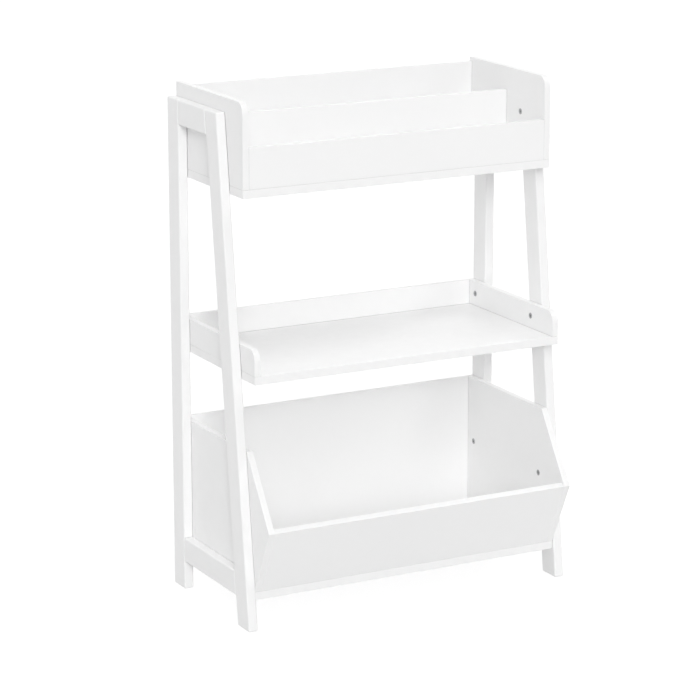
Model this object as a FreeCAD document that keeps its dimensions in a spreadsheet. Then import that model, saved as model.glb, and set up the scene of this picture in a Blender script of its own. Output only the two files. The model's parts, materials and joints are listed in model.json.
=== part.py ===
import FreeCAD, Part
import os
import re

import Sketcher

# A child's toy shelf of white lacquered board.
# Two end frames, each an upright rear leg and a splayed front leg with two rails between them,
# carry a divided tray, an open shelf and a deep bin with a tilted front.
# Millimetres. +X is to the right of someone facing the shelf, +Y runs to the wall behind it, +Z is up.
# The origin is on the floor, under the middle of the shelf's outline.
# Depths are measured forward from the plane that the rear legs' back faces lie in.

SIZES = {
    # end frames
    "frame_height": (900, "floor to the top of the end frames"),
    "stock_thickness": (18, "thickness of the legs and rails"),
    "stock_width": (45, "width of the legs and rails"),
    "stock_round": (3, "rounding of the legs' and rails' edges"),
    "crown_depth": (198, "depth of the end frames at the top"),
    "leg_splay": (111, "how much further forward the front legs stand on the floor"),
    "low_rail_lift": (53, "floor to the underside of the bottom rails and of the bin"),
    # boards and panels
    "unit_width": (610, "length of the three boards, between the end frames"),
    "board_thickness": (15, "thickness of the three boards"),
    "panel_thickness": (12, "thickness of the sides, the divider and the fronts"),
    "back_thickness": (9, "thickness of the back panels"),
    "panel_round": (0.8, "rounding of the boards' and panels' edges"),
    "corner_round": (20, "radius of the upper front corner of the tray's and the shelf's sides"),
    # tray
    "tray_drop": (140, "top of the end frames down to the underside of the tray"),
    "tray_depth": (264, "depth of the tray"),
    "tray_side_height": (150, "height of the tray's sides above its board"),
    "tray_back_height": (143, "height of the tray's back above its board"),
    "tray_divider_height": (108, "height of the divider above the tray's board"),
    "tray_front_height": (72, "height of the tray's front above its board"),
    "tray_rear_slot": (113.5, "clear depth of the slot behind the divider"),
    "tray_bolt_drop": (5, "underside of the top rails down to the tray's bolts"),
    # shelf
    "shelf_lift": (442.5, "floor to the underside of the shelf"),
    "shelf_depth": (303, "depth of the shelf"),
    "shelf_side_height": (46, "height of the shelf's sides and back above its board"),
    # bin
    "bin_floor_depth": (296, "depth of the bin's board"),
    "bin_lean": (57, "how far the tilted front overhangs its own foot"),
    "bin_front_height": (121, "height of the tilted front's upper edge above the bin's board"),
    "bin_rim_height": (247, "height of the bin's sides and back above its board"),
    "bin_rim_setback": (83, "how far the sides slope back from the tilted front to the rim"),
    # bolts that hang the units on the legs, and the threaded inserts that take them
    "rear_bolt_set": (29, "back of the rear legs to the rear bolts"),
    "bolt_diameter": (6, "diameter of the bolts"),
    "bolt_head_diameter": (11, "diameter of the bolts' countersunk heads"),
    "bolt_grip": (11, "length of bolt inside a leg"),
    "bolt_socket": (4, "width across the flats of the bolts' hexagon sockets"),
    "bolt_socket_depth": (2.2, "depth of the bolts' hexagon sockets"),
    "insert_diameter": (10, "outer diameter of the threaded inserts"),
    "insert_length": (12, "length of the threaded inserts"),
    # dowels between rails and legs
    "rail_dowel_diameter": (8, "diameter of the dowels in the end frames"),
    "rail_dowel_length": (40, "length of the dowels in the end frames, half on each side of the joint"),
    "rail_dowel_pitch": (22, "distance between the two dowels of a joint"),
    # dowels between the units' cross panels and their sides
    "panel_dowel_diameter": (5, "diameter of the dowels in the units"),
    "panel_dowel_length": (24, "length of the dowels in the units"),
    "panel_skin": (4, "thickness of side panel left outside a dowel"),
    "dowel_chamfer": (0.8, "chamfer on the ends of the dowels"),
    # screws that hold the boards up against the panels
    "screw_diameter": (3.5, "diameter of the board screws"),
    "screw_length": (35, "length of the board screws"),
    "screw_head_diameter": (7, "diameter of the screws' countersunk heads"),
    "screw_tip": (4, "length of the screws' points"),
    "screw_end_gap": (90, "end of a cross panel to its first screw"),
    "screw_slot": (0.9, "width of the cross slots in the screws' heads"),
    "screw_slot_length": (4, "length of the cross slots in the screws' heads"),
    "screw_slot_depth": (1.2, "depth of the cross slots in the screws' heads"),
    # fits
    "fit_play": (0.15, "gap all round a dowel, a screw or an insert in its hole"),
    "bolt_play": (0.5, "gap all round a bolt in a side panel"),
    "hole_spare": (0.5, "extra depth at the bottom of a blind hole"),
}

doc = FreeCAD.newDocument("ToyShelf")
sheet = doc.addObject("Spreadsheet::Sheet", "Sizes")
for row, (word, (number, meaning)) in enumerate(SIZES.items(), start=1):
    sheet.set(f"A{row}", meaning)
    sheet.set(f"B{row}", str(number))
    sheet.setAlias(f"B{row}", word)
doc.recompute()

NODES = {}


def bound(words):
    """Turns sizes named in plain words, such as "2 * panel_round", into an expression on the sheet."""
    return re.sub(r"[a-z_]+", lambda word: f"Sizes.{word[0]}" if word[0] in SIZES else word[0], words)


def value(words):
    """The present value of sizes named in plain words."""
    return float(sheet.evalExpression(bound(words)))


# Lengths that several pieces share, worked out from the sizes.
REAR = "((bin_floor_depth + bin_lean) / 2)"
INNER_WIDTH = "(unit_width - 2 * panel_thickness)"
LEG_RUN = "(stock_width * sqrt(1 + (leg_splay / frame_height)^2))"
TOP_RAIL_LIFT = "(frame_height - stock_width)"
DOWEL_SINK = "(panel_thickness - panel_skin)"
FRONT_SLANT = "sqrt(bin_lean^2 + bin_front_height^2)"
QUARTERS = ("1 / 4", "3 / 4")

# Hole sizes and depths, each its fastener's size and a named gap.
BOLT_HOLE = "(bolt_diameter + 2 * bolt_play)"
INSERT_HOLE = "(insert_diameter + 2 * fit_play)"
RAIL_DOWEL_HOLE = "(rail_dowel_diameter + 2 * fit_play)"
RAIL_DOWEL_REACH = "(rail_dowel_length / 2 + hole_spare)"
PANEL_DOWEL_HOLE = "(panel_dowel_diameter + 2 * fit_play)"
PANEL_DOWEL_REACH = f"(panel_dowel_length - {DOWEL_SINK} + hole_spare)"
SCREW_HOLE = "(screw_diameter + 2 * fit_play)"
SCREW_REACH = "(screw_length - board_thickness + hole_spare)"

# Screw places along a cross panel, from its left end.
CROSS_SCREWS = ("screw_end_gap", f"({INNER_WIDTH} / 2)", f"({INNER_WIDTH} - screw_end_gap)")

# The bolts' and screws' heads and their countersinks share one included angle, in degrees.
COUNTERSINK_ANGLE = 90

# Points closer than this are the same corner, and a cut has to take away more than this, in cubic mm.
SAME_POINT = 1e-6
LEAST_CUT = 1e-3


def front_leg_face(height):
    """Depth of the front leg's front face at a height above the floor."""
    return f"(crown_depth + leg_splay * (1 - ({height}) / frame_height))"


def front_leg_back(height):
    """Depth of the front leg's rear face, which the rails butt against, at a height above the floor."""
    return f"({front_leg_face(height)} - {LEG_RUN})"


# How the pieces' own axes lie in the shelf. A profile is drawn forward and up, and thickens to the left.
# A cross panel is drawn to the right and up, and thickens forward. A board lies flat.
X_AXIS = FreeCAD.Vector(1, 0, 0)
Y_AXIS = FreeCAD.Vector(0, 1, 0)
Z_AXIS = FreeCAD.Vector(0, 0, 1)
PROFILE = FreeCAD.Rotation(-Y_AXIS, Z_AXIS, -X_AXIS)
CROSS = FreeCAD.Rotation(X_AXIS, Z_AXIS, -Y_AXIS)
FLAT = FreeCAD.Rotation()


def new_body(label, turn, place):
    """An empty body whose axes are turned into the shelf and whose place is bound to the sheet."""
    body = doc.addObject("PartDesign::Body", label)
    body.Label = label
    body.Placement = FreeCAD.Placement(FreeCAD.Vector(), turn)
    for axis, words in zip("xyz", place):
        body.setExpression(f".Placement.Base.{axis}", bound(words))
    NODES[label] = body
    return body


def new_sketch(body, plane, lift):
    """A sketch on one of the body's own planes, lifted along that plane's normal."""
    sketch = body.newObject("Sketcher::SketchObject", f"{body.Name}_sketch")
    support = next(item for item in body.Origin.OriginFeatures if item.Role == plane)
    sketch.AttachmentSupport = [(support, "")]
    sketch.MapMode = "FlatFace"
    sketch.setExpression(".AttachmentOffset.Base.z", bound(lift))
    return sketch


def pin_point(sketch, item, point, place):
    """Holds a point of a sketch at a place measured from the sketch's origin."""
    for kind, words in zip(("DistanceX", "DistanceY"), place):
        at = sketch.addConstraint(Sketcher.Constraint(kind, -1, 1, item, point, value(words)))
        sketch.setExpression(f"Constraints[{at}]", bound(words))


def extrude(body, corners, thickness):
    """Pads the outline through the given corners."""
    sketch = new_sketch(body, "XY_Plane", "0")
    points = [FreeCAD.Vector(value(across), value(up), 0) for across, up in corners]
    for start, end in zip(points, points[1:] + points[:1]):
        sketch.addGeometry(Part.LineSegment(start, end))
    for side, corner in enumerate(corners):
        following = (side + 1) % len(corners)
        sketch.addConstraint(Sketcher.Constraint("Coincident", side, 2, following, 1))
        pin_point(sketch, side, 1, corner)
    pad = body.newObject("PartDesign::Pad", f"{body.Name}_pad")
    pad.Profile = sketch
    pad.setExpression("Length", bound(thickness))
    doc.recompute()


def round_corner(body, place):
    """Rounds the edge that runs through the thickness at one corner of the outline."""
    base = body.Tip
    corner = FreeCAD.Vector(value(place[0]), value(place[1]), 0)
    names = []
    for at, edge in enumerate(base.Shape.Edges, start=1):
        ends = [vertex.Point - corner for vertex in edge.Vertexes]
        if all(abs(end.x) < SAME_POINT and abs(end.y) < SAME_POINT for end in ends):
            names.append(f"Edge{at}")
    fillet = body.newObject("PartDesign::Fillet", f"{body.Name}_corner")
    fillet.Base = (base, names)
    fillet.setExpression("Radius", bound("corner_round"))
    doc.recompute()


def ease_edges(body, radius):
    """Rounds every edge of the piece, as it is sanded before lacquering."""
    base = body.Tip
    fillet = body.newObject("PartDesign::Fillet", f"{body.Name}_eased")
    fillet.Base = (base, [""])
    fillet.UseAllEdges = True
    fillet.setExpression("Radius", bound(radius))
    doc.recompute()


def draw_circles(sketch, places, diameter):
    """Draws a circle of one diameter at each place."""
    for place in places:
        centre = FreeCAD.Vector(value(place[0]), value(place[1]), 0)
        circle = sketch.addGeometry(Part.Circle(centre, Z_AXIS, value(diameter) / 2))
        pin_point(sketch, circle, 3, place)
        at = sketch.addConstraint(Sketcher.Constraint("Diameter", circle, value(diameter)))
        sketch.setExpression(f"Constraints[{at}]", bound(diameter))


def expect_less(body, before):
    """Stops if the last cut took nothing away."""
    if not body.Shape.Volume < before - LEAST_CUT:
        raise RuntimeError(f"a cut in {body.Label} removed nothing")


def drill(body, plane, lift, places, diameter, depth, along_normal):
    """Drills round holes from a plane of the body, along the plane's normal or against it."""
    before = body.Shape.Volume
    sketch = new_sketch(body, plane, lift)
    draw_circles(sketch, places, diameter)
    pocket = body.newObject("PartDesign::Pocket", f"{body.Name}_holes")
    pocket.Profile = sketch
    pocket.Reversed = along_normal
    pocket.setExpression("Length", bound(depth))
    doc.recompute()
    expect_less(body, before)


def countersink(body, lift, places, diameter, head_diameter, along_normal):
    """Drills fasteners' holes through a piece, countersunk for their heads where the drill goes in."""
    before = body.Shape.Volume
    sketch = new_sketch(body, "XY_Plane", lift)
    draw_circles(sketch, places, diameter)
    doc.recompute()
    hole = body.newObject("PartDesign::Hole", f"{body.Name}_sunk_holes")
    hole.Profile = sketch
    doc.recompute()
    hole.Reversed = along_normal
    hole.ThreadType = "None"
    hole.DepthType = "ThroughAll"
    hole.HoleCutType = "Countersink"
    hole.HoleCutCountersinkAngle = COUNTERSINK_ANGLE
    hole.setExpression("Diameter", bound(diameter))
    hole.setExpression("HoleCutDiameter", bound(f"{head_diameter} + 2 * fit_play"))
    doc.recompute()
    expect_less(body, before)


class Unit:
    """One of the three things that the end frames carry: a board, two sides and cross panels."""

    def __init__(self, word, lift, depth, side_height, bolt_height):
        self.word = word
        self.lift = lift
        self.depth = depth
        self.side_height = side_height
        self.floor = f"({lift} + board_thickness)"
        self.bolt_height = bolt_height
        front_bolt = f"({front_leg_face(bolt_height)} - {LEG_RUN} / 2)"
        self.bolt_depths = ("rear_bolt_set", front_bolt)
        # Two screws hold the board to each side, a quarter of the way in from the bolts.
        span = f"({front_bolt} - rear_bolt_set)"
        self.side_screw_depths = [f"(rear_bolt_set + {span} * {part})" for part in QUARTERS]
        # Dowel places on the sides, and screw places under the cross panels, are added with the panels.
        self.side_dowels = []
        self.cross_screw_depths = []


TRAY = Unit(
    "tray",
    "(frame_height - tray_drop)",
    "tray_depth",
    "tray_side_height",
    f"({TOP_RAIL_LIFT} - tray_bolt_drop)",
)
SHELF = Unit(
    "shelf",
    "shelf_lift",
    "shelf_depth",
    "shelf_side_height",
    "(shelf_lift + board_thickness + shelf_side_height / 2)",
)
BIN = Unit(
    "bin",
    "low_rail_lift",
    "bin_floor_depth",
    "bin_rim_height",
    "(low_rail_lift + board_thickness + bin_rim_height / 2)",
)
UNITS = (TRAY, SHELF, BIN)

# A hand is the name of an end of the shelf, the sign of its X,
# and whether a profile piece there has its inner face at its far side.
HANDS = (("left", -1, False), ("right", 1, True))


def inner_face(thickness, far):
    """Lift of a profile piece's inner face above the plane that it is drawn on."""
    return thickness if far else "0"


def outer_plane(sign, near, thickness):
    """X of the plane that a profile piece is drawn on, from its face nearer the shelf's middle."""
    return f"({near} + {thickness})" if sign > 0 else f"(0 - {near})"


# End frames

RAILS = (("top", TOP_RAIL_LIFT), ("bottom", "low_rail_lift"))


def rail_dowel_heights(lift):
    """Heights of the two dowels at each end of a rail."""
    middle = f"({lift} + stock_width / 2)"
    return [f"({middle} {side} rail_dowel_pitch / 2)" for side in "-+"]


def frame_body(label, sign):
    """A body for a leg or a rail of one end frame."""
    plane = outer_plane(sign, "unit_width / 2", "stock_thickness")
    return new_body(label, PROFILE, (plane, REAR, "0"))


def make_leg(hand, sign, far, word, corners, bolt_depth):
    """A leg with a blind hole for each unit's threaded insert in its inner face."""
    leg = frame_body(f"{hand}_{word}_leg", sign)
    extrude(leg, corners, "stock_thickness")
    ease_edges(leg, "stock_round")
    places = [(bolt_depth(unit), unit.bolt_height) for unit in UNITS]
    drill(
        leg, "XY_Plane", inner_face("stock_thickness", far), places,
        INSERT_HOLE, "insert_length + hole_spare", not far,
    )
    return leg


def make_frame(hand, sign, far):
    """One end frame: two legs and two rails, dowelled together."""
    mid_thickness = "stock_thickness / 2"
    rear = make_leg(
        hand, sign, far, "rear",
        [("0", "0"), ("stock_width", "0"), ("stock_width", "frame_height"), ("0", "frame_height")],
        lambda unit: unit.bolt_depths[0],
    )
    front = make_leg(
        hand, sign, far, "front",
        [
            (front_leg_back("0"), "0"),
            (front_leg_face("0"), "0"),
            (front_leg_face("frame_height"), "frame_height"),
            (front_leg_back("frame_height"), "frame_height"),
        ],
        lambda unit: unit.bolt_depths[1],
    )
    heights = [height for _, lift in RAILS for height in rail_dowel_heights(lift)]
    drill(
        rear, "YZ_Plane", "stock_width", [(height, mid_thickness) for height in heights],
        RAIL_DOWEL_HOLE, RAIL_DOWEL_REACH, False,
    )
    crown_back = front_leg_back("frame_height")
    for height in heights:
        reach = f"{front_leg_back(height)} + {RAIL_DOWEL_REACH} - {crown_back}"
        drill(front, "YZ_Plane", crown_back, [(height, mid_thickness)], RAIL_DOWEL_HOLE, reach, True)
    for word, lift in RAILS:
        make_rail(hand, sign, word, lift)


def make_rail(hand, sign, word, lift):
    """A rail: square at the rear leg, and cut to the splay at the front leg."""
    rail = frame_body(f"{hand}_{word}_rail", sign)
    top = f"({lift} + stock_width)"
    toe = front_leg_back(lift)
    corners = [("stock_width", lift), (toe, lift), (front_leg_back(top), top), ("stock_width", top)]
    extrude(rail, corners, "stock_thickness")
    ease_edges(rail, "stock_round")
    mid_thickness = "stock_thickness / 2"
    heights = rail_dowel_heights(lift)
    drill(
        rail, "YZ_Plane", "stock_width", [(height, mid_thickness) for height in heights],
        RAIL_DOWEL_HOLE, RAIL_DOWEL_REACH, True,
    )
    for height in heights:
        reach = f"{toe} - {front_leg_back(height)} + {RAIL_DOWEL_REACH}"
        drill(rail, "YZ_Plane", toe, [(height, mid_thickness)], RAIL_DOWEL_HOLE, reach, False)


# Boards and panels of the three units

def make_cross_panel(unit, word, depth, thickness, height):
    """A panel between the sides, dowelled into them and screwed to from below."""
    panel = new_body(
        f"{unit.word}_{word}", CROSS,
        (f"0 - {INNER_WIDTH} / 2", f"{REAR} - {depth}", unit.floor),
    )
    extrude(
        panel,
        [("0", "0"), (INNER_WIDTH, "0"), (INNER_WIDTH, height), ("0", height)],
        thickness,
    )
    ease_edges(panel, "panel_round")
    mid_thickness = f"({thickness} / 2)"
    dowel_heights = [f"({height} * {part})" for part in QUARTERS]
    ends = [(dowel_height, mid_thickness) for dowel_height in dowel_heights]
    drill(panel, "YZ_Plane", "0", ends, PANEL_DOWEL_HOLE, PANEL_DOWEL_REACH, True)
    drill(panel, "YZ_Plane", INNER_WIDTH, ends, PANEL_DOWEL_HOLE, PANEL_DOWEL_REACH, False)
    screws = [(across, mid_thickness) for across in CROSS_SCREWS]
    drill(panel, "XZ_Plane", "0", screws, SCREW_HOLE, SCREW_REACH, False)
    middle_depth = f"({depth} + {mid_thickness})"
    unit.side_dowels += [(middle_depth, dowel_height) for dowel_height in dowel_heights]
    unit.cross_screw_depths.append(middle_depth)


def make_bin_front():
    """The bin's front, which leans out over the board and is cut level to stand on it."""
    panel = new_body("bin_front", PROFILE, (f"{INNER_WIDTH} / 2", REAR, BIN.floor))
    tip_depth = "(bin_floor_depth + bin_lean)"
    back_run = f"(panel_thickness * bin_front_height / {FRONT_SLANT})"
    back_rise = f"(panel_thickness * bin_lean / {FRONT_SLANT})"
    extrude(
        panel,
        [
            (f"(bin_floor_depth - panel_thickness * {FRONT_SLANT} / bin_front_height)", "0"),
            ("bin_floor_depth", "0"),
            (tip_depth, "bin_front_height"),
            (f"({tip_depth} - {back_run})", f"(bin_front_height + {back_rise})"),
        ],
        INNER_WIDTH,
    )
    ease_edges(panel, "panel_round")
    places = [
        (
            f"(bin_floor_depth + bin_lean * {part} - {back_run} / 2)",
            f"(bin_front_height * {part} + {back_rise} / 2)",
        )
        for part in QUARTERS
    ]
    drill(panel, "XY_Plane", "0", places, PANEL_DOWEL_HOLE, PANEL_DOWEL_REACH, True)
    drill(panel, "XY_Plane", INNER_WIDTH, places, PANEL_DOWEL_HOLE, PANEL_DOWEL_REACH, False)
    BIN.side_dowels += places


def make_sides(unit, corners, rounded_corner):
    """The two sides of a unit, which stand on its board and are bolted to the legs."""
    for hand, sign, far in HANDS:
        plane = outer_plane(sign, "(unit_width / 2 - panel_thickness)", "panel_thickness")
        side = new_body(f"{unit.word}_{hand}_side", PROFILE, (plane, REAR, unit.floor))
        extrude(side, corners, "panel_thickness")
        if rounded_corner:
            round_corner(side, rounded_corner)
        ease_edges(side, "panel_round")
        inside = inner_face("panel_thickness", far)
        bolts = [(depth, f"({unit.bolt_height} - {unit.floor})") for depth in unit.bolt_depths]
        countersink(side, inside, bolts, BOLT_HOLE, "bolt_head_diameter", not far)
        drill(
            side, "XY_Plane", inside, unit.side_dowels,
            PANEL_DOWEL_HOLE, f"{DOWEL_SINK} + hole_spare", not far,
        )
        screws = [(depth, "panel_thickness / 2") for depth in unit.side_screw_depths]
        drill(side, "XZ_Plane", "0", screws, SCREW_HOLE, SCREW_REACH, False)


def board_screws(unit):
    """Places of a unit's screws: across from the board's left end, and depth."""
    places = []
    for across in ("panel_thickness / 2", "(unit_width - panel_thickness / 2)"):
        places += [(across, depth) for depth in unit.side_screw_depths]
    for depth in unit.cross_screw_depths:
        places += [(f"(panel_thickness + {across})", depth) for across in CROSS_SCREWS]
    return places


def make_board(unit):
    """The board that a unit's sides and cross panels stand on."""
    board = new_body(
        f"{unit.word}_board", FLAT,
        ("0 - unit_width / 2", f"{REAR} - {unit.depth}", unit.lift),
    )
    extrude(
        board,
        [("0", "0"), ("unit_width", "0"), ("unit_width", unit.depth), ("0", unit.depth)],
        "board_thickness",
    )
    ease_edges(board, "panel_round")
    screws = [(across, f"({unit.depth} - {depth})") for across, depth in board_screws(unit)]
    countersink(board, "0", screws, SCREW_HOLE, "screw_head_diameter", True)


def plain_side(unit):
    """Corners of a rectangular side, the rounded upper front one third."""
    return [("0", "0"), (unit.depth, "0"), (unit.depth, unit.side_height), ("0", unit.side_height)]


for hand, sign, far in HANDS:
    make_frame(hand, sign, far)

make_cross_panel(TRAY, "back", "0", "back_thickness", "tray_back_height")
make_cross_panel(
    TRAY, "divider", "(back_thickness + tray_rear_slot)", "panel_thickness", "tray_divider_height"
)
make_cross_panel(
    TRAY, "front", "(tray_depth - panel_thickness)", "panel_thickness", "tray_front_height"
)
make_sides(TRAY, plain_side(TRAY), plain_side(TRAY)[2])
make_board(TRAY)

make_cross_panel(SHELF, "back", "0", "back_thickness", "shelf_side_height")
make_sides(SHELF, plain_side(SHELF), plain_side(SHELF)[2])
make_board(SHELF)

make_cross_panel(BIN, "back", "0", "back_thickness", "bin_rim_height")
make_bin_front()
make_sides(
    BIN,
    [
        ("0", "0"),
        ("bin_floor_depth", "0"),
        ("(bin_floor_depth + bin_lean)", "bin_front_height"),
        ("(bin_floor_depth + bin_lean - bin_rim_setback)", "bin_rim_height"),
        ("0", "bin_rim_height"),
    ],
    None,
)
make_board(BIN)


# Fasteners. Each kind is modelled once, along its own Z axis, and copied to its places.

def primitive(kind, name, place, **sizes):
    """A primitive solid with its sizes and its place along Z bound to the sheet."""
    solid = doc.addObject(f"Part::{kind}", name)
    for prop, words in sizes.items():
        solid.setExpression(prop, bound(words))
    solid.setExpression(".Placement.Base.z", bound(place))
    return solid


def joined(name, *solids):
    """Several solids fused into one."""
    fuse = doc.addObject("Part::MultiFuse", name)
    fuse.Shapes = list(solids)
    return fuse


def cut(name, base, tool):
    """One solid cut by another."""
    result = doc.addObject("Part::Cut", name)
    result.Base = base
    result.Tool = tool
    return result


def sunk_head(name, head_diameter, diameter):
    """The cone of a countersunk head, with its face at zero, and the words for its depth."""
    depth = f"(({head_diameter} - {diameter}) / 2 / tan({COUNTERSINK_ANGLE} / 2))"
    head = primitive(
        "Cone", name, "0", Radius1=f"{head_diameter} / 2", Radius2=f"{diameter} / 2", Height=depth
    )
    return head, depth


def make_bolt():
    """A countersunk bolt with a hexagon socket. Its head's face is at zero."""
    head, head_depth = sunk_head("bolt_head", "bolt_head_diameter", "bolt_diameter")
    shank = primitive(
        "Cylinder", "bolt_shank", head_depth,
        Radius="bolt_diameter / 2", Height=f"panel_thickness + bolt_grip - {head_depth}",
    )
    socket = primitive(
        "Prism", "bolt_socket", "0", Circumradius="bolt_socket / sqrt(3)", Height="bolt_socket_depth"
    )
    return cut("bolt_pattern", joined("bolt_solid", head, shank), socket)


def make_insert():
    """A threaded insert, shown as a plain sleeve. Its mouth is at zero."""
    sleeve = primitive(
        "Cylinder", "insert_sleeve", "0", Radius="insert_diameter / 2", Height="insert_length"
    )
    bore = primitive(
        "Cylinder", "insert_bore", "0", Radius="bolt_diameter / 2 + fit_play", Height="insert_length"
    )
    return cut("insert_pattern", sleeve, bore)


def make_dowel(word):
    """A wooden dowel with chamfered ends."""
    rod = primitive(
        "Cylinder", f"{word}_rod", "0",
        Radius=f"{word}_diameter / 2", Height=f"{word}_length",
    )
    doc.recompute()
    dowel = doc.addObject("Part::Chamfer", f"{word}_pattern")
    dowel.Base = rod
    size = value("dowel_chamfer")
    edges = enumerate(rod.Shape.Edges, start=1)
    dowel.Edges = [(at, size, size) for at, edge in edges if edge.Closed]
    return dowel


def make_screw():
    """A countersunk screw with a cross slot. Its head's face is at zero."""
    head, head_depth = sunk_head("screw_head", "screw_head_diameter", "screw_diameter")
    shank = primitive(
        "Cylinder", "screw_shank", head_depth,
        Radius="screw_diameter / 2", Height=f"screw_length - {head_depth} - screw_tip",
    )
    tip = primitive(
        "Cone", "screw_tip", "screw_length - screw_tip",
        Radius1="screw_diameter / 2", Radius2="0", Height="screw_tip",
    )
    slots = []
    for word, long_side, short_side in (("wide", "Length", "Width"), ("tall", "Width", "Length")):
        slot = primitive(
            "Box", f"screw_slot_{word}", "0",
            **{long_side: "screw_slot_length", short_side: "screw_slot", "Height": "screw_slot_depth"},
        )
        long_axis, short_axis = ("x", "y") if long_side == "Length" else ("y", "x")
        slot.setExpression(f".Placement.Base.{long_axis}", bound("0 - screw_slot_length / 2"))
        slot.setExpression(f".Placement.Base.{short_axis}", bound("0 - screw_slot / 2"))
        slots.append(slot)
    return cut("screw_pattern", joined("screw_solid", head, shank, tip), joined("screw_slots", *slots))


def at_depth(across, depth, height):
    """A point of the shelf from its distance right of the middle, its depth and its height."""
    return FreeCAD.Vector(value(across), value(f"{REAR} - {depth}"), value(height))


def place_copies(label, pattern, places):
    """One node of separate copies of a fastener, each at a point with its Z axis along a direction."""
    copies = []
    for point, direction in places:
        copy = pattern.Shape.copy()
        copy.Placement = FreeCAD.Placement(point, FreeCAD.Rotation(Z_AXIS, direction))
        copies.append(copy)
    node = doc.addObject("Part::Feature", label)
    node.Label = label
    node.Shape = Part.makeCompound(copies)
    NODES[label] = node


def both_hands(near):
    """X of a face at each end of the shelf, with the direction outward from the middle."""
    return [(f"({sign} * {near})", X_AXIS * sign) for _, sign, _ in HANDS]


bolt = make_bolt()
insert = make_insert()
rail_dowel = make_dowel("rail_dowel")
panel_dowel = make_dowel("panel_dowel")
screw = make_screw()
doc.recompute()

bolt_places = []
insert_places = []
for unit in UNITS:
    for depth in unit.bolt_depths:
        for across, outward in both_hands("(unit_width / 2 - panel_thickness)"):
            bolt_places.append((at_depth(across, depth, unit.bolt_height), outward))
        for across, outward in both_hands("(unit_width / 2)"):
            insert_places.append((at_depth(across, depth, unit.bolt_height), outward))
place_copies("connector_bolts", bolt, bolt_places)
place_copies("threaded_inserts", insert, insert_places)

for hand, sign, far in HANDS:
    across = f"({sign} * (unit_width / 2 + stock_thickness / 2))"
    places = []
    for _, lift in RAILS:
        for height in rail_dowel_heights(lift):
            for joint in ("stock_width", front_leg_back(height)):
                places.append((at_depth(across, f"({joint} - rail_dowel_length / 2)", height), -Y_AXIS))
    place_copies(f"{hand}_frame_dowels", rail_dowel, places)

for unit in UNITS:
    places = []
    for depth, height in unit.side_dowels:
        for across, outward in both_hands(f"({INNER_WIDTH} / 2 + {DOWEL_SINK})"):
            places.append((at_depth(across, depth, f"{unit.floor} + {height}"), -outward))
    place_copies(f"{unit.word}_dowels", panel_dowel, places)
    places = []
    for across, depth in board_screws(unit):
        places.append((at_depth(f"({across} - unit_width / 2)", depth, unit.lift), Z_AXIS))
    place_copies(f"{unit.word}_screws", screw, places)

# Nothing is written unless every object is sound.
doc.recompute()
for item in doc.Objects:
    if {"Invalid", "Error"} & set(item.State):
        raise RuntimeError(f"{item.Label} failed: {item.State}")
for label, node in NODES.items():
    if node.Shape.isNull() or not node.Shape.isValid():
        raise RuntimeError(f"{label} has no valid shape")

os.makedirs("parts", exist_ok=True)
for label, node in NODES.items():
    node.Shape.exportStep(f"parts/{label}.step")
    print(label, len(node.Shape.Solids), "solids", round(node.Shape.Volume / 1000, 1), "cm3")
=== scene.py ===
# %% [markdown]
# # A toy shelf in white lacquer
#
# The shelf is flat furniture: lacquered boards, bolted between two end frames.
# Its CAD model has every board at its real size, with its edges eased, so the boards aren't modelled again.
# This lesson loads them as a fixed frame and gives them a camera, light, a floor and a finish.
# Then it models the small parts that hold the boards together, which the CAD model keeps plain:
# bolts, screws, threaded inserts and dowels.

# %% Load the shelf
import json
import math

import bmesh
import bpy
from mathutils import Matrix, Vector


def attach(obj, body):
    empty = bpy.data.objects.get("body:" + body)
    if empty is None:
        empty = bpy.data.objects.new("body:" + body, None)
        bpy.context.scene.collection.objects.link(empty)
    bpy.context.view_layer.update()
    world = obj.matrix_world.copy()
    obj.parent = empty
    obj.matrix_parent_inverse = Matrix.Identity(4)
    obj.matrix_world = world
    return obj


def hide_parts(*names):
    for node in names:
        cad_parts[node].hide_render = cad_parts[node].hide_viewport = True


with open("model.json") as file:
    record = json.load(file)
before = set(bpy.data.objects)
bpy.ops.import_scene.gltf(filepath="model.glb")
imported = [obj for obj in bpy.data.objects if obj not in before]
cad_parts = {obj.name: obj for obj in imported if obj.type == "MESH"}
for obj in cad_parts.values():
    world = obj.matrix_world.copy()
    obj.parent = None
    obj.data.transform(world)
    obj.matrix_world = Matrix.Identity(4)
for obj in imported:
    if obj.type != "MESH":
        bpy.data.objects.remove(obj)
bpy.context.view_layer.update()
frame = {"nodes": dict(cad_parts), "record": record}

nodes = frame["nodes"]
slots = {subpart["node"]: subpart["material_slot"] for subpart in frame["record"]["subparts"]}
scene = bpy.context.scene

# %% [markdown]
# ## The camera
#
# The picture to match was taken from the front left, from well above the shelf, with a long lens:
# lines that run back hardly draw together. A long lens is a long focal length and a camera far away.
# Place and direction are set as numbers, because they were measured from the picture's own corners.
# The picture is square, so the sensor's width counts in both directions.

# %% Place the camera
CAMERA_PLACE = Vector((-2.420, -4.4225, 1.738))
CAMERA_TURN = math.radians(28.16)
CAMERA_DIP = math.radians(14.44)
LENS_MM = 149.2
SENSOR_MM = 36.0

camera_data = bpy.data.cameras.new("camera")
camera_data.lens = LENS_MM
camera_data.sensor_width = SENSOR_MM
camera = bpy.data.objects.new("camera", camera_data)
looking = Vector((
    math.sin(CAMERA_TURN) * math.cos(CAMERA_DIP),
    math.cos(CAMERA_TURN) * math.cos(CAMERA_DIP),
    -math.sin(CAMERA_DIP),
))
camera.location = CAMERA_PLACE
camera.rotation_euler = looking.to_track_quat("-Z", "Y").to_euler()
scene.collection.objects.link(camera)
scene.camera = camera
print("camera:", [round(part, 3) for part in camera.location])

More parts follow.
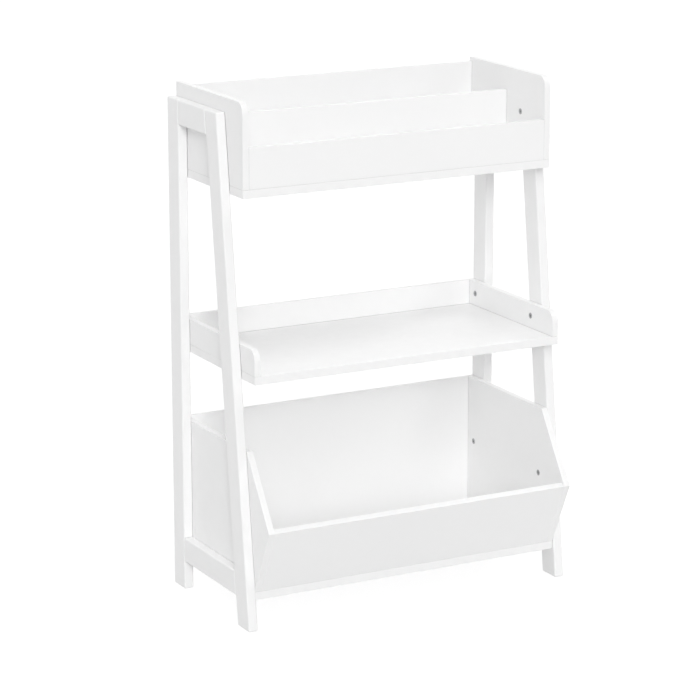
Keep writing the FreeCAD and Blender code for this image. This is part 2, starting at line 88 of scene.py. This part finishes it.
# %% [markdown]
# ## Light
#
# White furniture is photographed between large soft boxes, so that each face keeps a tone of its own
# and no edge throws a hard shadow. The key light stands at the front left, as a low and a high lamp.
# The key and a weak lamp at the front right are narrower than the rest, so that the legs still throw
# soft shadows into the shelf. The rest light the sides, the top and the back.
# The world adds the little light that comes back from the room.
# Area lamps would light the shelf's near side more than its far side.
# A sun lamp with a wide disc is a soft box at a great distance, and lights all the shelf alike.
# White boards also light each other: inside the bin, light has met several of them before it reaches
# the camera. So the light is followed over more bounces than Blender's own setting allows.

# %% Set the lamps
ROOM_LIGHT = 0.146

scene.view_settings.view_transform = "Standard"
scene.cycles.max_bounces = 16
scene.cycles.diffuse_bounces = 12

room = bpy.data.worlds.new("room")
scene.world = room
room.use_nodes = True
room.node_tree.nodes["Background"].inputs["Color"].default_value = (1, 1, 1, 1)
room.node_tree.nodes["Background"].inputs["Strength"].default_value = ROOM_LIGHT


def soft_lamp(name, bearing, height, strength, width=40):
    """A sun lamp with a wide disc.

    Its bearing counts from the front to the right, and its height up from the floor.
    Both are in degrees, and so is the width of the disc.
    """
    turn = math.radians(bearing)
    rise = math.radians(height)
    towards = Vector((math.sin(turn) * math.cos(rise), -math.cos(turn) * math.cos(rise), math.sin(rise)))
    lamp = bpy.data.lights.new(name, "SUN")
    lamp.angle = math.radians(width)
    lamp.energy = strength
    lamp_object = bpy.data.objects.new(name, lamp)
    lamp_object.rotation_euler = (-towards).to_track_quat("-Z", "Y").to_euler()
    scene.collection.objects.link(lamp_object)
    print(name, "strength", strength)


soft_lamp("key_lamp", bearing=-20, height=20, strength=1.03, width=16)
soft_lamp("high_key_lamp", bearing=-27, height=35, strength=0.43, width=16)
soft_lamp("low_front_lamp", bearing=20, height=8, strength=0.22, width=16)
soft_lamp("top_lamp", bearing=0, height=75, strength=0.64)
soft_lamp("left_lamp", bearing=-90, height=40, strength=0.59, width=80)
soft_lamp("right_lamp", bearing=90, height=40, strength=0.85)
soft_lamp("rear_wall_lamp", bearing=180, height=0, strength=2.20, width=120)

# %% [markdown]
# ## Floor and backdrop
#
# The camera sees a plain white studio: a floor that runs out of the picture and a far wall all round it.
# One ball with its lower half pressed flat is both.
# The shelf must not see so much white below it, because that would wash out the shade under the boards.
# So the studio is there for the camera alone. A greyer sheet just below its floor lights the undersides,
# and the camera doesn't see that sheet.

# %% Build the studio
STUDIO_RADIUS = 30.0
SHEET_GAP = 0.0005


def stage_paper(name, shape, white, glow):
    """Matt paper that throws back part of its light, and glows a little like a light table."""
    mesh = bpy.data.meshes.new(name)
    shape.to_mesh(mesh)
    shape.free()
    paper = bpy.data.materials.new(name)
    paper.use_nodes = True
    shader = paper.node_tree.nodes["Principled BSDF"]
    shader.inputs["Base Color"].default_value = (white, white, white, 1)
    shader.inputs["Roughness"].default_value = 1
    shader.inputs["Emission Color"].default_value = (1, 1, 1, 1)
    shader.inputs["Emission Strength"].default_value = glow
    mesh.materials.append(paper)
    sheet = bpy.data.objects.new(name, mesh)
    scene.collection.objects.link(sheet)
    print(name, "size:", [round(side, 2) for side in sheet.dimensions])
    return sheet


studio_shape = bmesh.new()
bmesh.ops.create_uvsphere(studio_shape, u_segments=48, v_segments=24, radius=STUDIO_RADIUS)
for vert in studio_shape.verts:
    vert.co.z = max(vert.co.z, 0)
studio = stage_paper("studio", studio_shape, white=0.20, glow=0.85)
studio.visible_diffuse = False
studio.visible_glossy = False
studio.visible_shadow = False

underlay_shape = bmesh.new()
bmesh.ops.create_grid(underlay_shape, x_segments=1, y_segments=1, size=STUDIO_RADIUS)
bmesh.ops.translate(underlay_shape, vec=(0, 0, -SHEET_GAP), verts=underlay_shape.verts)
underlay = stage_paper("underlay", underlay_shape, white=0.40, glow=0.308)
underlay.visible_camera = False

# %% [markdown]
# ## Shader arithmetic
#
# A finish is a network of nodes, and most of its nodes only add or multiply.
# Built one by one they hide what the finish is. Here a small class wraps a node's output,
# so that 0.3 + 0.1 * mist adds the two Math nodes itself.
# Every other node comes from one method, which makes its settings first and then fills its sockets.

# %% Wrap a node's output
class Wire:
    """One output of a node. Arithmetic on wires adds Math nodes to the same material."""

    def __init__(self, output):
        self.output = output

    def add(self, kind, settings, sockets, outlet=0):
        """Adds a node beside this one, and returns one of its outputs."""
        node = self.output.id_data.nodes.new(kind)
        for setting, choice in settings.items():
            setattr(node, setting, choice)
        fill_sockets(node, sockets)
        return Wire(node.outputs[outlet])

    def math(self, operation, *values):
        return self.add("ShaderNodeMath", {"operation": operation}, dict(enumerate(values)))

    def __add__(self, other):
        return self.math("ADD", self, other)

    def __radd__(self, other):
        return self.math("ADD", other, self)

    def __sub__(self, other):
        return self.math("SUBTRACT", self, other)

    def __rsub__(self, other):
        return self.math("SUBTRACT", other, self)

    def __mul__(self, other):
        return self.math("MULTIPLY", self, other)

    def __rmul__(self, other):
        return self.math("MULTIPLY", other, self)


def fill_sockets(node, sockets):
    """Links a node's sockets to wires, or gives them plain values."""
    for socket, value in sockets.items():
        if isinstance(value, Wire):
            node.id_data.links.new(value.output, node.inputs[socket])
        else:
            node.inputs[socket].default_value = value


# %% [markdown]
# ## What the finishes share
#
# Every finish starts from a place on its piece. It lays soft patches there, mixes two colours by them,
# and lets the surface rise and sink a little. Each of these is one helper.

# %% Name the shared nodes
# The Mix node has sockets for numbers, vectors and colours. These are the places of its colour sockets.
MIX_FACTOR = 0
MIX_FIRST = 6
MIX_SECOND = 7
MIX_RESULT = 2


def new_finish(name):
    """A material, its shader, and the place on the piece that its patterns start from."""
    material = bpy.data.materials.new(name)
    material.use_nodes = True
    shader = material.node_tree.nodes["Principled BSDF"]
    place = Wire(material.node_tree.nodes.new("ShaderNodeTexCoord").outputs["Object"])
    return material, shader, place


def cloudy(place, scale, detail=2.0):
    """Soft random patches from 0 to 1. The scale is how many fit in a metre."""
    return place.add("ShaderNodeTexNoise", {}, {"Vector": place, "Scale": scale, "Detail": detail})


def tinted(factor, first, second):
    """A colour between two, by a wire that goes from 0 to 1."""
    sockets = {MIX_FACTOR: factor, MIX_FIRST: first, MIX_SECOND: second}
    return factor.add("ShaderNodeMix", {"data_type": "RGBA"}, sockets, MIX_RESULT)


def relief(height, depth):
    """A bump. The depth is what one unit of the height wire measures, in metres."""
    return height.add("ShaderNodeBump", {}, {"Height": height, "Distance": depth, "Strength": 1.0})


# %% [markdown]
# ## White lacquer
#
# The boards are sanded and sprayed with white lacquer, which dries to a satin gloss.
# One flat white would look like plastic. A sprayed coat isn't equally thick, so its white drifts a little
# over a hand's breadth. Where the spray lands dry it is duller, in patches as wide as a finger.
# It also keeps a fine dimpled skin, about two millimetres from dimple to dimple, which softens reflections.
# All three are noise at the right scale, and each is so faint that it only shows from close by.
# Into the joints between boards the finish paints shade: a grey hairline where the surface is closed in.
# The Ambient Occlusion node finds those places: it says how open the surface is within a millimetre or two.
# Only the bin's front and sides get no painted shade where they meet in one plane.
# So they get the same lacquer, but stay full white in the joints.

# %% Mix the lacquer
THIN_WHITE = (0.912, 0.912, 0.914, 1)
FULL_WHITE = (0.930, 0.930, 0.928, 1)
CLOUDS_PER_METRE = 7
DRY_PATCHES_PER_METRE = 60
DIMPLES_PER_METRE = 520
DIMPLE_DEPTH = 0.00002
SATIN_ROUGHNESS = 0.36
DRY_ROUGHENING = 0.12
COAT_WEIGHT = 0.25
DRY_COAT_LOSS = 0.2
COAT_ROUGHNESS = 0.25
# Painted shade for the joints between boards: its grey, how far it reaches and how many rays measure it.
CREASE_SHADE_GREY = (0.62, 0.62, 0.625, 1)
CREASE_SHADE_REACH = 0.0014
CREASE_SHADE_SAMPLES = 4
# These pieces get no painted shade in their joints.
PIECES_WITHOUT_PAINTED_SHADE = ("bin_front", "bin_left_side", "bin_right_side")


def lacquer_finish(name, crease_shade_colour):
    """White lacquer, with shade painted into its joints in the given colour."""
    material, shader, board = new_finish(name)
    coat_thickness = cloudy(board, CLOUDS_PER_METRE)
    dry_spray = cloudy(board, DRY_PATCHES_PER_METRE, detail=4.0)
    dimples = cloudy(board, DIMPLES_PER_METRE, detail=1.0)
    # Ambient occlusion is the mask for the painted shade: closed-in joints turn grey.
    crease_shade_mask = board.add(
        "ShaderNodeAmbientOcclusion", {"samples": CREASE_SHADE_SAMPLES}, {"Distance": CREASE_SHADE_REACH}, "AO",
    )
    fill_sockets(shader, {
        "Base Color": tinted(crease_shade_mask, crease_shade_colour, tinted(coat_thickness, THIN_WHITE, FULL_WHITE)),
        "Roughness": SATIN_ROUGHNESS + DRY_ROUGHENING * dry_spray,
        "Coat Weight": COAT_WEIGHT - DRY_COAT_LOSS * dry_spray,
        "Coat Roughness": COAT_ROUGHNESS,
        "Normal": relief(dimples, DIMPLE_DEPTH),
    })
    return material


# The first lacquer has shade painted into its joints. The second has none.
lacquer = lacquer_finish("lacquer_with_painted_shade", CREASE_SHADE_GREY)
lacquer_without_painted_shade = lacquer_finish("lacquer_without_painted_shade", FULL_WHITE)
lacquered = [name for name, slot in slots.items() if slot == "white_lacquer"]
for name in lacquered:
    nodes[name].data.materials.clear()
    nodes[name].data.materials.append(lacquer_without_painted_shade if name in PIECES_WITHOUT_PAINTED_SHADE else lacquer)
print("lacquered pieces:", len(lacquered))

# %% [markdown]
# ## The metals and the dowels' wood
#
# The bolts are plain grey steel, turned on a lathe, which leaves fine rings round the middle of each head.
# The rings follow a number that each point of the bolts' mesh will carry, its distance from its bolt's axis.
# One pattern on the shelf's coordinates can't do that, because there are twelve centres.
# The screws and inserts are zinc plated: brighter, slightly blue, and cloudy.
# The dowels are beech, pale brown with short dark flecks along the grain.

# %% Mix the metals
TURNING = "turning"
TURNED_RING = 0.00035
RING_DEPTH = 0.000004
DULL_STEEL = (0.40, 0.40, 0.41, 1)
BRIGHT_STEEL = (0.54, 0.54, 0.55, 1)
STAINS_PER_METRE = 400
STEEL_ROUGHNESS = 0.34
STAIN_ROUGHENING = 0.10
RING_ROUGHENING = 0.04
BLUISH_ZINC = (0.52, 0.55, 0.58, 1)
PALE_ZINC = (0.70, 0.70, 0.68, 1)
PLATING_CLOUDS_PER_METRE = 300
ZINC_ROUGHNESS = 0.24
PLATING_ROUGHENING = 0.2

turned_steel, steel_shader, steel_place = new_finish("turned_steel")
axis_distance = steel_place.add("ShaderNodeAttribute", {"attribute_name": TURNING}, {}, "Fac")
rings = steel_place.math("SINE", axis_distance * (math.tau / TURNED_RING))
stains = cloudy(steel_place, STAINS_PER_METRE, detail=3.0)
fill_sockets(steel_shader, {
    "Base Color": tinted(stains, DULL_STEEL, BRIGHT_STEEL),
    "Metallic": 1.0,
    "Roughness": STEEL_ROUGHNESS + STAIN_ROUGHENING * stains + RING_ROUGHENING * rings,
    "Normal": relief(rings, RING_DEPTH),
})

zinc_plate, zinc_shader, zinc_place = new_finish("zinc_plate")
plating = cloudy(zinc_place, PLATING_CLOUDS_PER_METRE, detail=4.0)
fill_sockets(zinc_shader, {
    "Base Color": tinted(plating, BLUISH_ZINC, PALE_ZINC),
    "Metallic": 1.0,
    "Roughness": ZINC_ROUGHNESS + PLATING_ROUGHENING * plating,
})
print("metals:", turned_steel.name, zinc_plate.name)

# %% Cut the beech
BEECH_PALE = (0.62, 0.42, 0.26, 1)
BEECH_FLECK = (0.40, 0.24, 0.13, 1)
FLECKS_PER_METRE = 900
FLECK_STRETCH = 0.12
FLECK_DEPTH = 0.00005
BEECH_ROUGHNESS = 0.6
FLECK_ROUGHENING = 0.2


def beech_finish(name, grain_axis):
    """Beech whose grain runs along one axis, 0 for X or 1 for Y."""
    material, shader, place = new_finish(name)
    stretch = [1.0, 1.0, 1.0]
    stretch[grain_axis] = FLECK_STRETCH
    along = place.add("ShaderNodeMapping", {}, {"Vector": place, "Scale": stretch})
    flecks = cloudy(along, FLECKS_PER_METRE, detail=3.0)
    fill_sockets(shader, {
        "Base Color": tinted(flecks, BEECH_PALE, BEECH_FLECK),
        "Roughness": BEECH_ROUGHNESS + FLECK_ROUGHENING * flecks,
        "Normal": relief(flecks, FLECK_DEPTH),
    })
    return material


frame_beech = beech_finish("frame_beech", grain_axis=1)
unit_beech = beech_finish("unit_beech", grain_axis=0)
print("beech finishes:", frame_beech.name, unit_beech.name)

# %% [markdown]
# ## Where the fasteners go
#
# The CAD model already has every bolt, screw, insert and dowel in its hole, one node for each kind.
# So their places aren't typed again: they are read from the node, which holds one loose shell per fastener.

# %% Find the shells
SAME_POINT = 1e-6
PLACE_DIGITS = 5


def shells_of(node):
    """The lowest and highest corner of each separate shell of a CAD node."""
    shape = bmesh.new()
    shape.from_mesh(nodes[node].data)
    bmesh.ops.remove_doubles(shape, verts=shape.verts, dist=SAME_POINT)
    unseen = set(shape.verts)
    boxes = []
    while unseen:
        waiting = [unseen.pop()]
        shell = []
        while waiting:
            vert = waiting.pop()
            shell.append(vert.co)
            linked = {edge.other_vert(vert) for edge in vert.link_edges} & unseen
            unseen -= linked
            waiting += linked
        low = Vector([min(place[axis] for place in shell) for axis in range(3)])
        high = Vector([max(place[axis] for place in shell) for axis in range(3)])
        boxes.append((low, high))
    shape.free()
    return sorted(boxes, key=lambda box: [round(part, PLACE_DIGITS) for part in box[0]])


print("bolts found:", len(shells_of("connector_bolts")))

# %% [markdown]
# ## Patterns and copies
#
# Each fastener is modelled once, along its own Z axis, and copied to each of its places.
# All copies become one piece, which takes over from the plain CAD node and moves with the shelf.

# %% Copy a pattern to its places
SHARP_EDGE = math.radians(35)


def place_copies(name, node, pattern, finish, direction):
    """One piece of copies of a pattern, which stand for the shells of a CAD node."""
    piece_shape = bmesh.new()
    boxes = shells_of(node)
    for low, high in boxes:
        middle = (low + high) / 2
        heading = direction(middle)
        start = middle - heading * abs((high - low).dot(heading)) / 2
        turn = heading.to_track_quat("Z", "Y").to_matrix().to_4x4()
        before = len(piece_shape.verts)
        piece_shape.from_mesh(pattern)
        bmesh.ops.transform(
            piece_shape, matrix=Matrix.Translation(start) @ turn, verts=piece_shape.verts[before:],
        )
    mesh = bpy.data.meshes.new(name)
    piece_shape.to_mesh(mesh)
    piece_shape.free()
    mesh.materials.append(finish)
    piece = bpy.data.objects.new(name, mesh)
    scene.collection.objects.link(piece)
    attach(piece, "root")
    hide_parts(node)
    print(name, "copies:", len(boxes), "faces:", len(mesh.polygons))


def finished_pattern(name, shape):
    """A mesh of one fastener, with faces turned outward and only its real corners sharp."""
    bmesh.ops.recalc_face_normals(shape, faces=shape.faces)
    distance = shape.verts.layers.float.new(TURNING)
    for vert in shape.verts:
        vert[distance] = vert.co.xy.length
    for face in shape.faces:
        face.smooth = True
    for edge in shape.edges:
        edge.smooth = edge.calc_face_angle(0) < SHARP_EDGE
    mesh = bpy.data.meshes.new(name)
    shape.to_mesh(mesh)
    shape.free()
    return mesh


# %% [markdown]
# ## Turned shapes
#
# Bolts, screws and inserts are all turned: round about one axis, with a thread.
# An outline of radii and heights, spun once round the axis, gives the whole body in one step.
# A real thread climbs as a spiral. Inside the wood nobody sees the climb, so here it is a row of rings,
# which keeps the mesh closed and light.

# %% Spin an outline
TURN_STEPS = 48


def lathe(outline):
    """Spins an outline of radii and heights about the Z axis."""
    shape = bmesh.new()
    line = [shape.verts.new((radius, 0, height)) for radius, height in outline]
    for start, end in zip(line, line[1:]):
        shape.edges.new((start, end))
    bmesh.ops.spin(
        shape, geom=shape.verts[:] + shape.edges[:], cent=(0, 0, 0), axis=(0, 0, 1),
        angle=math.tau, steps=TURN_STEPS, use_merge=True,
    )
    bmesh.ops.remove_doubles(shape, verts=shape.verts, dist=SAME_POINT)
    return shape


def thread(start, end, core, crest, pitch):
    """Outline of a thread's rings, from one height up to another."""
    outline = []
    for turn in range(int((end - start) / pitch)):
        outline.append((core, start + turn * pitch))
        outline.append((crest, start + (turn + 0.5) * pitch))
    outline.append((core, end))
    return outline


# %% [markdown]
# ## Connector bolts
#
# These are the only fasteners that show in the picture: small grey dots inside the right-hand sides.
# Each is a countersunk head, flush with the board, with a hexagon socket for a key.
# The head could be a cone with a cut, but a cut leaves long thin triangles that shade badly.
# So the head is turned with an open mouth, its rim is bevelled, and a hexagon with as many points
# as the mouth is bridged to it. The hexagon lies a little below the mouth, which chamfers the socket.
# Then the hexagon is pulled down into the head, and its floor is closed with a fan of triangles.

# %% Sink a socket
def sink_socket(shape, depth, narrowing):
    """Joins the open mouth of a head to a loose outline inside it, and sinks that outline into the head."""
    mouth = [edge for edge in shape.edges if edge.is_boundary]
    outline = [edge for edge in shape.edges if edge.is_wire]
    bmesh.ops.bridge_loops(shape, edges=mouth + outline)
    rim = [edge for edge in shape.edges if edge.is_boundary]
    walls = bmesh.ops.extrude_edge_only(shape, edges=rim)["geom"]
    bottom = [item for item in walls if isinstance(item, bmesh.types.BMVert)]
    bmesh.ops.translate(shape, vec=(0, 0, depth), verts=bottom)
    bmesh.ops.scale(shape, vec=(narrowing, narrowing, 1), verts=bottom)
    floor = bmesh.ops.holes_fill(shape, edges=[edge for edge in shape.edges if edge.is_boundary])["faces"]
    bmesh.ops.poke(shape, faces=floor)


# %% Turn the bolts
RIM_BEVEL = 0.0002
RIM_SEGMENTS = 2
SOCKET_WIDTH = 0.004
SOCKET_CHAMFER = 0.0003
SOCKET_DEPTH = 0.0019
BOLT_RADIUS = 0.003
BOLT_CORE = 0.0024
BOLT_PITCH = 0.001
BOLT_THREAD = 0.013
HEXAGON_SIDES = 6


def outward(middle):
    """The direction along X that points away from the shelf's middle."""
    return Vector((math.copysign(1, middle.x), 0, 0))


bolt_low, bolt_high = shells_of("connector_bolts")[0]
bolt_length = bolt_high.x - bolt_low.x
head_radius = (bolt_high.z - bolt_low.z) / 2
socket_corner = SOCKET_WIDTH / math.sqrt(3)
thread_start = bolt_length - BOLT_THREAD

bolt_shape = lathe(
    [(socket_corner + SOCKET_CHAMFER, 0), (head_radius, 0), (BOLT_RADIUS, head_radius - BOLT_RADIUS)]
    + [(BOLT_RADIUS, thread_start)]
    + thread(thread_start, bolt_length, BOLT_CORE, BOLT_RADIUS, BOLT_PITCH)
    + [(0, bolt_length)]
)
rim = [
    edge for edge in bolt_shape.edges
    if all(vert.co.xy.length > head_radius - SAME_POINT for vert in edge.verts)
]
bmesh.ops.bevel(
    bolt_shape, geom=rim, offset=RIM_BEVEL, affect="EDGES", segments=RIM_SEGMENTS, profile=0.5, material=-1,
)
hexagon = bmesh.ops.create_circle(bolt_shape, segments=HEXAGON_SIDES, radius=socket_corner)["verts"]
bmesh.ops.translate(bolt_shape, vec=(0, 0, SOCKET_CHAMFER), verts=hexagon)
hexagon_edges = [edge for edge in bolt_shape.edges if edge.is_wire]
bmesh.ops.subdivide_edges(bolt_shape, edges=hexagon_edges, cuts=TURN_STEPS // HEXAGON_SIDES - 1)
sink_socket(bolt_shape, SOCKET_DEPTH, narrowing=1.0)
bolt_pattern = finished_pattern("bolt", bolt_shape)
place_copies("connector_bolts_turned", "connector_bolts", bolt_pattern, turned_steel, outward)

# %% [markdown]
# ## Board screws
#
# The boards are screwed up against the panels from below, so the heads lie flush in the undersides.
# A countersunk head is a cone with a flat face, and its socket is a cross that narrows towards the bottom.
# The cross is one quarter of its outline, spun four times.
# It is bridged to the head's face as the hexagon was.

# %% Turn the screws
SCREW_RADIUS = 0.00175
SCREW_CORE = 0.0012
SCREW_PITCH = 0.0016
SCREW_TIP = 0.004
SMOOTH_SHANK = 0.010
CROSS_ARM = 0.0018
CROSS_HALF_WIDTH = 0.00045
CROSS_MOUTH = 0.0024
CROSS_DEPTH = 0.0014
CROSS_NARROWING = 0.5
CROSS_ARMS = 4

screw_low, screw_high = shells_of("tray_screws")[0]
screw_length = screw_high.z - screw_low.z
screw_head = (screw_high.x - screw_low.x) / 2

screw_shape = lathe(
    [(CROSS_MOUTH, 0), (screw_head, 0), (SCREW_RADIUS, screw_head - SCREW_RADIUS)]
    + [(SCREW_RADIUS, SMOOTH_SHANK)]
    + thread(SMOOTH_SHANK, screw_length - SCREW_TIP, SCREW_CORE, SCREW_RADIUS, SCREW_PITCH)
    + [(0, screw_length)]
)
quarter = [
    screw_shape.verts.new((across, along, 0)) for across, along in (
        (CROSS_ARM, -CROSS_HALF_WIDTH),
        (CROSS_ARM, CROSS_HALF_WIDTH),
        (CROSS_HALF_WIDTH, CROSS_HALF_WIDTH),
        (CROSS_HALF_WIDTH, CROSS_ARM),
    )
]
quarter_edges = [screw_shape.edges.new(pair) for pair in zip(quarter, quarter[1:])]
bmesh.ops.spin(
    screw_shape, geom=quarter + quarter_edges, cent=(0, 0, 0), axis=(0, 0, 1),
    angle=math.tau, steps=CROSS_ARMS, use_duplicate=True,
)
cross = [vert for vert in screw_shape.verts if vert.is_wire]
bmesh.ops.remove_doubles(screw_shape, verts=cross, dist=SAME_POINT)
cross_edges = [edge for edge in screw_shape.edges if edge.is_wire]
bmesh.ops.subdivide_edges(screw_shape, edges=cross_edges, cuts=TURN_STEPS // len(cross_edges) - 1)
sink_socket(screw_shape, CROSS_DEPTH, narrowing=CROSS_NARROWING)
screw_pattern = finished_pattern("screw", screw_shape)


def upward(middle):
    """The direction that the screws are driven in."""
    return Vector((0, 0, 1))


for unit in ("tray", "shelf", "bin"):
    place_copies(f"{unit}_screws_turned", f"{unit}_screws", screw_pattern, zinc_plate, upward)

# %% [markdown]
# ## Threaded inserts
#
# Board holds no machine thread, so each bolt runs into a metal sleeve that was screwed into the leg.
# The sleeve has a coarse, sharp thread outside, which bites into the wood, and a smooth lead at its mouth.
# Its outline ends where it began, so that the spin closes it into a ring.

# %% Turn the inserts
INSERT_BORE = 0.00315
INSERT_CORE = 0.0042
INSERT_PITCH = 0.0022
INSERT_LEAD = 0.001

insert_low, insert_high = shells_of("threaded_inserts")[0]
insert_length = insert_high.x - insert_low.x
insert_radius = (insert_high.z - insert_low.z) / 2

insert_shape = lathe(
    [(INSERT_BORE, 0), (insert_radius, 0), (insert_radius, INSERT_LEAD)]
    + thread(INSERT_LEAD, insert_length, INSERT_CORE, insert_radius, INSERT_PITCH)
    + [(INSERT_BORE, insert_length), (INSERT_BORE, 0)]
)
insert_pattern = finished_pattern("insert", insert_shape)
place_copies("threaded_inserts_turned", "threaded_inserts", insert_pattern, zinc_plate, outward)

# %% [markdown]
# ## Dowels
#
# Dowels keep the panels in line while the glue sets. They are pressed with flutes along their length,
# which let the glue rise past them, and their ends are chamfered so that they find their holes.
# A circle with every second point pulled in is the fluted section, and three extrusions give the length.

# %% Flute the dowels
FLUTES = 18
FLUTE_DEPTH = 0.0003
DOWEL_CHAMFER = 0.0008


def fluted_dowel(name, length, radius):
    """A dowel along Z with flutes and chamfered ends."""
    shape = bmesh.new()
    ring = bmesh.ops.create_circle(shape, segments=2 * FLUTES, radius=radius)["verts"]
    fluted = 1 - FLUTE_DEPTH / radius
    bmesh.ops.scale(shape, vec=(fluted, fluted, 1), verts=ring[::2])
    narrow = 1 - DOWEL_CHAMFER / radius
    bmesh.ops.scale(shape, vec=(narrow, narrow, 1), verts=ring)
    edges = shape.edges[:]
    rises = (DOWEL_CHAMFER, length - 2 * DOWEL_CHAMFER, DOWEL_CHAMFER)
    for rise, widening in zip(rises, (1 / narrow, 1.0, narrow)):
        grown = bmesh.ops.extrude_edge_only(shape, edges=edges)["geom"]
        edges = [item for item in grown if isinstance(item, bmesh.types.BMEdge)]
        ring = [item for item in grown if isinstance(item, bmesh.types.BMVert)]
        bmesh.ops.translate(shape, vec=(0, 0, rise), verts=ring)
        bmesh.ops.scale(shape, vec=(widening, widening, 1), verts=ring)
    bmesh.ops.holes_fill(shape, edges=[edge for edge in shape.edges if edge.is_boundary])
    return finished_pattern(name, shape)


def rearward(middle):
    """The direction that the end frames' dowels lie in."""
    return Vector((0, 1, 0))


rail_low, rail_high = shells_of("left_frame_dowels")[0]
rail_dowel = fluted_dowel("rail_dowel", rail_high.y - rail_low.y, (rail_high.z - rail_low.z) / 2)
for hand in ("left", "right"):
    node = f"{hand}_frame_dowels"
    place_copies(f"{node}_fluted", node, rail_dowel, frame_beech, rearward)

panel_low, panel_high = shells_of("tray_dowels")[0]
panel_dowel = fluted_dowel("panel_dowel", panel_high.x - panel_low.x, (panel_high.z - panel_low.z) / 2)
for unit in ("tray", "shelf", "bin"):
    node = f"{unit}_dowels"
    place_copies(f"{node}_fluted", node, panel_dowel, unit_beech, outward)
